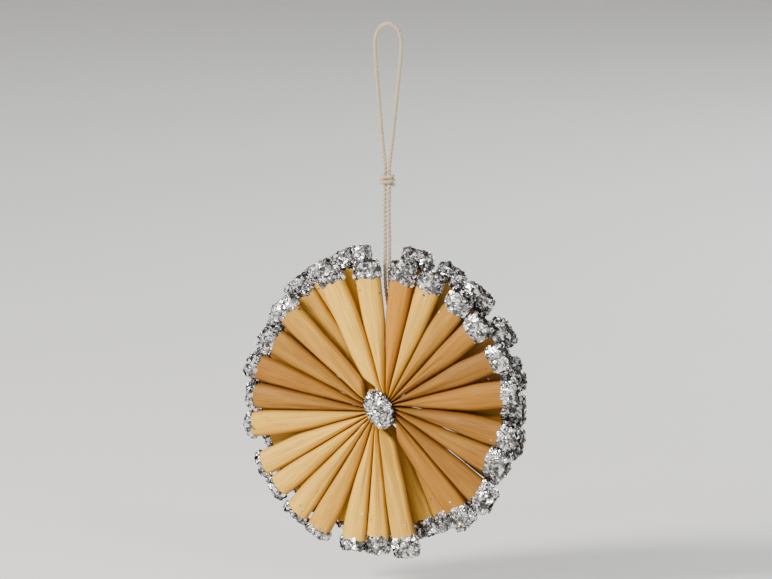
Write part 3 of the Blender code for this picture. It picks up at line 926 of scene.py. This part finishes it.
class Nodes:
    """A short way to build one material's nodes."""

    def __init__(self, name):
        self.material = bpy.data.materials.new(name)
        self.material.use_nodes = True
        self.tree = self.material.node_tree
        self.shader = self.tree.nodes["Principled BSDF"]

    def add(self, kind, inputs=None, **settings):
        node = self.tree.nodes.new(kind)
        for key, value in settings.items():
            setattr(node, key, value)
        for key, value in (inputs or {}).items():
            self.feed(node.inputs[key], value)
        return node

    def feed(self, socket, value):
        if isinstance(value, bpy.types.NodeSocket):
            self.tree.links.new(value, socket)
        else:
            socket.default_value = value

    def set(self, **values):
        for key, value in values.items():
            self.feed(self.shader.inputs[key.replace("_", " ")], value)

    def ramp(self, factor, stops):
        node = self.add("ShaderNodeValToRGB", {"Fac": factor})
        elements = node.color_ramp.elements
        while len(elements) < len(stops):
            elements.new(0.5)
        for element, (place, colour) in zip(elements, stops):
            element.position = place
            element.color = (*colour, 1)
        return node.outputs["Color"]

    def mix(self, factor, first, second, blend="MIX"):
        """Two colours mixed. The node takes colours at its inputs 6 and 7 and gives one at its output 2."""
        node = self.add("ShaderNodeMix", data_type="RGBA", blend_type=blend, clamp_factor=True)
        self.feed(node.inputs[0], factor)
        self.feed(node.inputs[6], first)
        self.feed(node.inputs[7], second)
        return node.outputs[2]

    def maths(self, operation, *values):
        node = self.add("ShaderNodeMath", operation=operation)
        for socket, value in zip(node.inputs, values):
            self.feed(socket, value)
        return node.outputs[0]

    def noise(self, vector, scale, detail=2.0, roughness=0.5):
        inputs = {"Vector": vector, "Scale": scale, "Detail": detail, "Roughness": roughness}
        return self.add("ShaderNodeTexNoise", inputs).outputs["Fac"]

    def stretched(self, vector, scale):
        node = self.add("ShaderNodeMapping", {"Vector": vector, "Scale": scale})
        return node.outputs["Vector"]

    def bump(self, height, distance, strength=1.0, before=None):
        node = self.add("ShaderNodeBump", {"Height": height, "Distance": distance, "Strength": strength})
        if before is not None:
            self.feed(node.inputs["Normal"], before)
        return node.outputs["Normal"]


def grey(level):
    return level, level, level


def straw_finish():
    """Satin straw: golden tan to pale cream from ray to ray, with lengthwise grain, blotches and specks.
    Painted shade darkens its grooves and sides, and painted highlight lightens its ridges.
    """
    tan, gold, cream = (0.255, 0.114, 0.021), (0.455, 0.230, 0.036), (0.80, 0.470, 0.066)
    ripe, speck_brown, pith = (0.39, 0.146, 0.015, 1), (0.14, 0.06, 0.02, 1), (0.62, 0.38, 0.10, 1)
    # Grain colours, with painted shade in the grooves and painted highlight on the ridges
    groove_grain_and_shade, ridge_grain_and_highlight = (0.66, 0.56, 0.44), (1.08, 1.10, 1.12)
    n = Nodes("dried_straw")
    grain = n.add("ShaderNodeAttribute", attribute_name="grain").outputs["Vector"]
    tint = n.add("ShaderNodeAttribute", attribute_name="tint").outputs["Color"]
    channels = n.add("ShaderNodeSeparateColor", {"Color": tint}).outputs
    pale, orange, inside = channels["Red"], channels["Green"], channels["Blue"]
    fine = n.noise(n.stretched(grain, (1.0, 1.0, 0.030)), scale=5200.0, detail=3.0, roughness=0.6)
    broad = n.noise(n.stretched(grain, (1.0, 1.0, 0.10)), scale=900.0)
    blotch = n.noise(n.stretched(grain, (1.0, 1.0, 0.5)), scale=190.0, detail=3.0)
    shade = pale
    for cloud in (broad, blotch):
        varied = n.maths("MULTIPLY", n.maths("SUBTRACT", cloud, 0.5), CLOUD_STRENGTH)
        shade = n.maths("ADD", shade, varied)
    body = n.ramp(shade, ((0.0, tan), (0.45, gold), (0.9, cream)))
    body = n.mix(orange, body, ripe)
    # Lengthwise grain, with painted shade in the bump's grooves and painted highlight on its ridges
    streaks_with_painted_light = n.ramp(fine, ((0.30, groove_grain_and_shade), (0.55, grey(1.0)), (0.75, ridge_grain_and_highlight)))
    body = n.mix(STREAK_AND_PAINTED_LIGHT_STRENGTH, body, streaks_with_painted_light, "MULTIPLY")
    # Painted shade: the straw's sides darkened, standing in for the shadow of its neighbours
    side = n.add("ShaderNodeAttribute", attribute_name="side").outputs["Fac"]
    painted_side_shade = n.ramp(side, ((PAINTED_SIDE_SHADE_FROM, grey(1.0)), (1.0, PAINTED_SIDE_SHADE)))
    body = n.mix(PAINTED_SIDE_SHADE_STRENGTH, body, painted_side_shade, "MULTIPLY")
    spots = n.stretched(grain, (1.0, 1.0, 0.45))
    speck_field = n.add("ShaderNodeTexVoronoi", {"Vector": spots, "Scale": 420.0})
    speck = n.ramp(speck_field.outputs["Distance"], ((0.03, grey(1)), (0.075, grey(0))))
    rare = n.ramp(speck_field.outputs["Color"], ((0.80, grey(0)), (0.83, grey(1))))
    body = n.mix(n.maths("MULTIPLY", speck, rare), body, speck_brown)
    body = n.mix(n.maths("MULTIPLY", inside, INSIDE_STRENGTH), body, pith)
    n.set(Base_Color=body, IOR=1.45, Specular_IOR_Level=0.13)
    n.set(Roughness=n.ramp(fine, ((0.2, grey(0.56)), (0.8, grey(0.40)))))
    ridge = n.bump(fine, distance=0.00007, strength=0.8)
    n.set(Normal=n.bump(broad, distance=0.00012, strength=0.6, before=ridge))
    return n.material


def glitter_finish():
    """Mirror-bright flakes over grainy silver glue. Every flake and every grain of the glue has a
    random brightness, a painted reflection of what it would mirror.
    """
    n = Nodes("silver_glitter")
    painted_glint = n.add("ShaderNodeAttribute", attribute_name="painted_glint").outputs["Fac"]
    place = n.add("ShaderNodeTexCoord").outputs["Object"]
    grains = n.add("ShaderNodeTexVoronoi", {"Vector": place, "Scale": 2600.0})
    cell = n.add("ShaderNodeSeparateColor", {"Color": grains.outputs["Color"]}).outputs["Red"]
    # Painted reflection: each grain of the glue gets a random brightness, from near black to pale silver
    glue = n.ramp(cell, ((0.0, grey(0.03)), (0.6, (0.22, 0.22, 0.21)), (1.0, (0.80, 0.80, 0.81))))
    # Painted reflection: each flake's brightness follows its drawn value, from near black to near white
    plate = n.ramp(painted_glint, (
        (0.0, (0.05, 0.05, 0.053)),
        (0.32, (0.16, 0.16, 0.165)),
        (0.52, (0.66, 0.66, 0.67)),
        (0.8, (0.96, 0.96, 0.97)),
    ))
    is_flake = n.maths("GREATER_THAN", painted_glint, GLUE_SHINE / 2)
    n.set(Base_Color=n.mix(is_flake, glue, plate), Metallic=1.0)
    n.set(Roughness=n.ramp(painted_glint, ((0.0, grey(0.26)), (1.0, grey(0.10)))))
    n.set(Normal=n.bump(grains.outputs["Distance"], distance=0.00012, strength=0.7))
    return n.material


def thread_finish(name, colour, fibre_painted_shade):
    """Matt twisted cotton with fine fibres, and painted shade between the fibres and in patches along it.
    """
    n = Nodes(name)
    fibre = n.add("ShaderNodeAttribute", attribute_name="fibre").outputs["Vector"]
    fine = n.noise(n.stretched(fibre, (1.0, 1.0, 0.16)), scale=16000.0, roughness=0.6)
    broad = n.noise(n.stretched(fibre, (0.3, 0.3, 1.0)), scale=600.0)
    # Painted shade: darker between the fibres and in broad patches along the thread
    body = n.ramp(fine, ((0.28, fibre_painted_shade), (0.62, colour)))
    body = n.mix(n.maths("MULTIPLY", broad, THREAD_PATCH_SHADE_STRENGTH), body, (*fibre_painted_shade, 1))
    n.set(Base_Color=body, Roughness=0.88, Sheen_Weight=0.35, Sheen_Roughness=0.4)
    n.set(Normal=n.bump(fine, distance=0.00005, strength=0.8))
    return n.material


def stage_finish():
    """Matt pale card, faintly clouded."""
    n = Nodes("pale_card")
    place = n.add("ShaderNodeTexCoord").outputs["Object"]
    cloud = n.noise(place, scale=3.0, detail=3.0)
    n.set(Base_Color=n.ramp(cloud, ((0.3, (0.80, 0.79, 0.77)), (0.7, (0.83, 0.82, 0.80)))), Roughness=0.8)
    return n.material


# Stage, light and camera

def add_stage(lowest):
    """A pale round floor that bends up into a wall all the way round."""
    floor = lowest - STAGE_DROP
    profile = [(0.0, floor), (STAGE_RADIUS - STAGE_BEND, floor)]
    for step in range(1, STAGE_BEND_STEPS + 1):
        turn = math.pi / 2 * step / STAGE_BEND_STEPS
        reach = STAGE_RADIUS - STAGE_BEND + STAGE_BEND * math.sin(turn)
        profile.append((reach, floor + STAGE_BEND * (1 - math.cos(turn))))
    profile.append((STAGE_RADIUS, floor + STAGE_HEIGHT))
    bearings = 2 * math.pi * np.arange(STAGE_SIDES) / STAGE_SIDES
    points = [(r * math.cos(b), r * math.sin(b), z) for r, z in profile[1:] for b in bearings]
    faces = [tuple(range(STAGE_SIDES))[::-1]] + loft_sides(len(profile) - 1, STAGE_SIDES)
    mesh = bpy.data.meshes.new("stage")
    mesh.from_pydata(points, [], faces)
    mesh.flip_normals()
    mesh.shade_smooth()
    mesh.materials.append(stage_finish())
    stage = bpy.data.objects.new("stage", mesh)
    bpy.context.scene.collection.objects.link(stage)


def direction_to(azimuth, elevation):
    """The unit vector from the ornament towards a place round it. Azimuth 0 is straight in front."""
    a, e = math.radians(azimuth), math.radians(elevation)
    return np.array([math.sin(a) * math.cos(e), -math.cos(a) * math.cos(e), math.sin(e)])


def aim(thing, place, target):
    thing.location = place
    thing.rotation_euler = Vector(target - place).to_track_quat("-Z", "Y").to_euler()


def add_light(name, azimuth, elevation, distance, size, power, colour, target):
    lamp = bpy.data.lights.new(name, "AREA")
    lamp.shape = "DISK"
    lamp.size = size
    lamp.energy = power
    lamp.color = colour
    light = bpy.data.objects.new(name, lamp)
    bpy.context.scene.collection.objects.link(light)
    aim(light, target + distance * direction_to(azimuth, elevation), target)


def add_lights(target):
    for light in LIGHTS:
        add_light(*light, target)
    world = bpy.data.worlds.new("studio")
    world.use_nodes = True
    background = world.node_tree.nodes["Background"]
    background.inputs["Color"].default_value = SKY
    background.inputs["Strength"].default_value = SKY_STRENGTH
    bpy.context.scene.world = world


def add_camera(low, high):
    """A camera aimed at the middle of the model's box, whose height fills its share of the picture."""
    target = (low + high) / 2
    lens = bpy.data.cameras.new("camera")
    camera = bpy.data.objects.new("camera", lens)
    bpy.context.scene.collection.objects.link(camera)
    aim(camera, target + VIEW_DISTANCE * direction_to(VIEW_AZIMUTH, VIEW_ELEVATION), target)
    camera.rotation_euler.rotate_axis("Z", math.radians(VIEW_ROLL))
    seen_height = (high[2] - low[2]) / PICTURE_SHARE
    lens.sensor_fit = "HORIZONTAL"
    lens.sensor_width = SENSOR
    lens.lens = SENSOR * VIEW_DISTANCE / (seen_height * PICTURE[0] / PICTURE[1])
    lens.clip_end = FAR_CLIP
    bpy.context.scene.camera = camera


def dress(piece, slot, *nodes):
    """Tie a piece to the one body and hide the model's nodes that it stands for. Its slot is not used."""
    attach(piece, "root")
    if nodes:
        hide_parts(*nodes)


def dress_loop(cotton):
    """The hanging thread and the knot round its two strands."""
    path = curve_through(loop_route(), THREAD_STEP * THREAD_DIAMETER)
    loop = twisted_thread("loop_thread", path, THREAD_DIAMETER, cotton)
    pair = THREAD_DIAMETER + THREAD_CLEARANCE / 2
    wound = coil(
        KNOT_TURNS - 1, THREAD_DIAMETER, pair + THREAD_CLEARANCE + THREAD_DIAMETER / 2,
        THREAD_DIAMETER + THREAD_CLEARANCE, KNOT_SQUARENESS, KNOT_STEPS,
    )
    wound = np.array(wound) + [0, 0, RIM_TOP_Z + KNOT_RISE]
    knot = twisted_thread("tied_knot", wound, THREAD_DIAMETER, cotton)
    dress(loop, "thread", "hanging_loop")
    dress(knot, "thread", "loop_knot")


def dress_straws():
    """Every straw with the glitter on its ends, and the two dabs over the binding."""
    straw_look = straw_finish()
    glitter_look = glitter_finish()
    flake_rng = np.random.default_rng(FLAKE_SEED)
    form_rng = random.Random(FLAKE_SEED)
    for straws in all_layers():
        for straw in straws:
            others = [other.line() for other in straws if other is not straw]
            piece, skins = straw_piece(straw, others, straw_look, form_rng)
            dress(piece, "straw", straw.node)
            dress(glitter_piece(straw, skins, glitter_look, flake_rng), "glitter")
    for side, depth_side in (("front", -1), ("back", 1)):
        node = f"glitter_dab_{side}"
        dress(dab_piece(f"glue_dab_{side}", depth_side, glitter_look, flake_rng), "glitter", node)


def dress_binding(cotton):
    """The thread wound round the waist of both layers."""
    wound = coil(
        BINDING_TURNS - 1, BINDING_DIAMETER, BINDING_HALF_WIDTH, BINDING_HALF_DEPTH, WAIST_CORNER,
        BINDING_STEPS,
    )
    wound = to_world([(z, y, x) for x, y, z in wound])
    dress(twisted_thread("waist_binding", wound, BINDING_DIAMETER, cotton), "thread", "binding_thread")


def main():
    low, high = [np.array(corner, float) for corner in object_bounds()]
    add_camera(low, high)
    cotton = thread_finish("cream_cotton", COTTON, COTTON_PAINTED_SHADE)
    dress_loop(cotton)
    dress_straws()
    dress_binding(cotton)
    add_stage(low[2])
    add_lights(np.array([0.0, 0.0, DISC_CENTRE_Z]))


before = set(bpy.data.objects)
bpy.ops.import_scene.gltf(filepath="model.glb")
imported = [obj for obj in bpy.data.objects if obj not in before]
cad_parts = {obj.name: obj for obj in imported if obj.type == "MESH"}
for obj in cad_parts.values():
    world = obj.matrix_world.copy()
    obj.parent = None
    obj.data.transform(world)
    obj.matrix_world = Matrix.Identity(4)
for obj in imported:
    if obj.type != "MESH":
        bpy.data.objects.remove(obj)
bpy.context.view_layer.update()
main()
